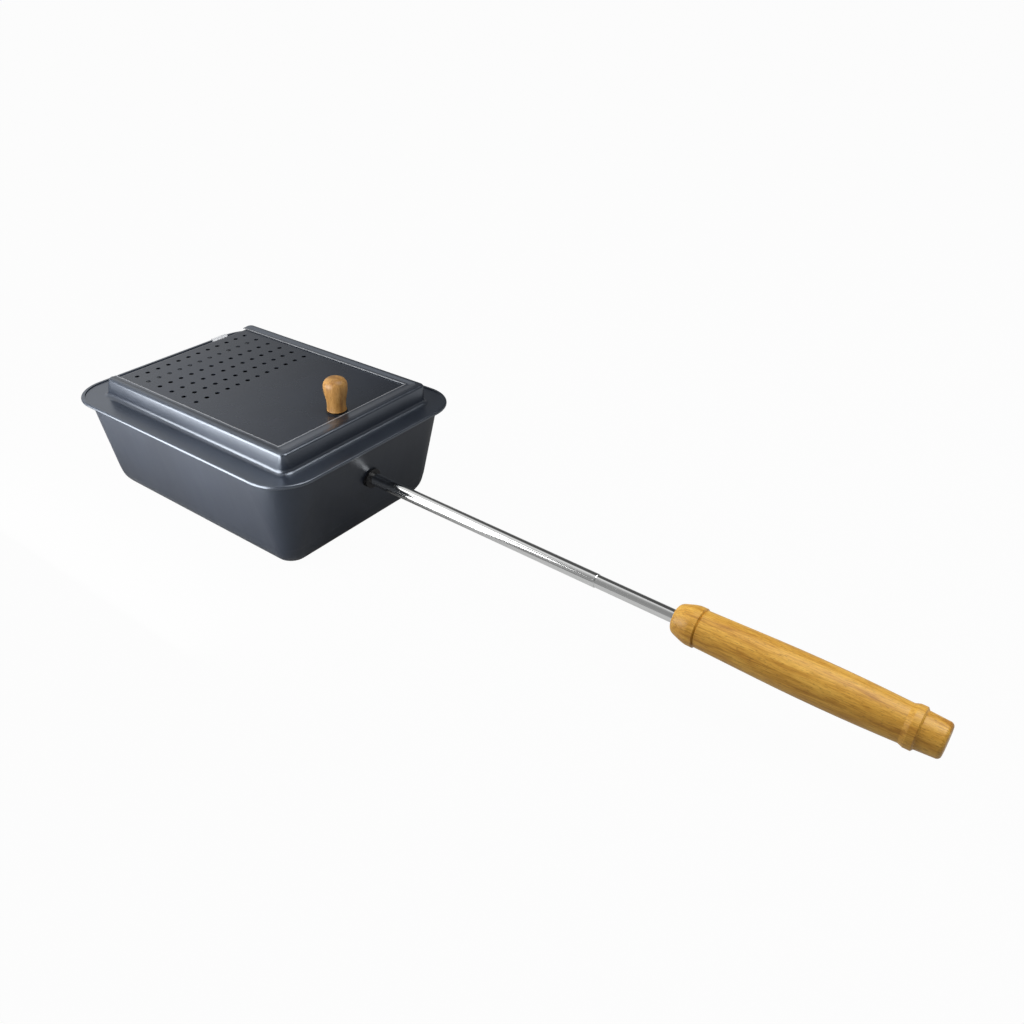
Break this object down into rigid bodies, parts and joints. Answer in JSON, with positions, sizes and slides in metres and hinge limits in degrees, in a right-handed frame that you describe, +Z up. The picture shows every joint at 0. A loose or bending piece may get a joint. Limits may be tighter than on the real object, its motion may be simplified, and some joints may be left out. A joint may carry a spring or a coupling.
{
  "type": "campfire popcorn popper",
  "caption": "Black steel popping pan under a crimped cover with a perforated sliding panel, wooden knob, and a telescoping tube handle with a turned wooden grip.",
  "frame": {"origin": "centre of the pan's flat base", "axes": "+X along the handle from the pan towards the grip, +Y to the side, +Z up"},
  "size_m": [0.685, 0.202, 0.1311],
  "materials": {
    "coated_steel": "semi-gloss black non-stick coating",
    "bright_steel": "satin",
    "tube_chrome": "polished",
    "plug_alloy": "satin",
    "black_washer": "matt black",
    "sleeve_nylon": "matt",
    "knob_wood": "satin varnish",
    "grip_wood": "satin varnish"
  },
  "bodies": {
    "pan_body": {"pan": "coated_steel", "cover_frame": "coated_steel", "guide_rail_left": "coated_steel", "guide_rail_right": "coated_steel", "root_collar": "black_washer", "inner_washer": "bright_steel", "lock_washer": "bright_steel", "handle_bolt": "bright_steel", "tube_plug": "plug_alloy", "outer_tube": "tube_chrome"},
    "panel_body": {"sliding_panel": "coated_steel", "pull_tab": "bright_steel", "tab_rivets": "bright_steel", "panel_knob": "knob_wood", "knob_washer": "black_washer", "knob_screw": "bright_steel", "screw_washer": "bright_steel"},
    "sleeve_body": {"friction_sleeve": "sleeve_nylon"},
    "grip_body": {"inner_tube": "tube_chrome", "grip": "grip_wood", "grip_pin": "bright_steel"}
  },
  "joints": [
    {"name": "panel_slide", "type": "slide", "parent": "pan_body", "child": "panel_body", "axis": [-1, 0, 0], "range_m": [0, 0.15]},
    {"name": "handle_telescope", "type": "slide", "parent": "pan_body", "child": "sleeve_body", "axis": [0.9997, 0, -0.0244], "range_m": [-0.058, 0.11]},
    {"name": "grip_swivel", "type": "hinge", "parent": "sleeve_body", "child": "grip_body", "pos_m": [0.38711, 0, 0.04891], "axis": [0.9997, 0, -0.0244], "continuous": true}
  ]
}
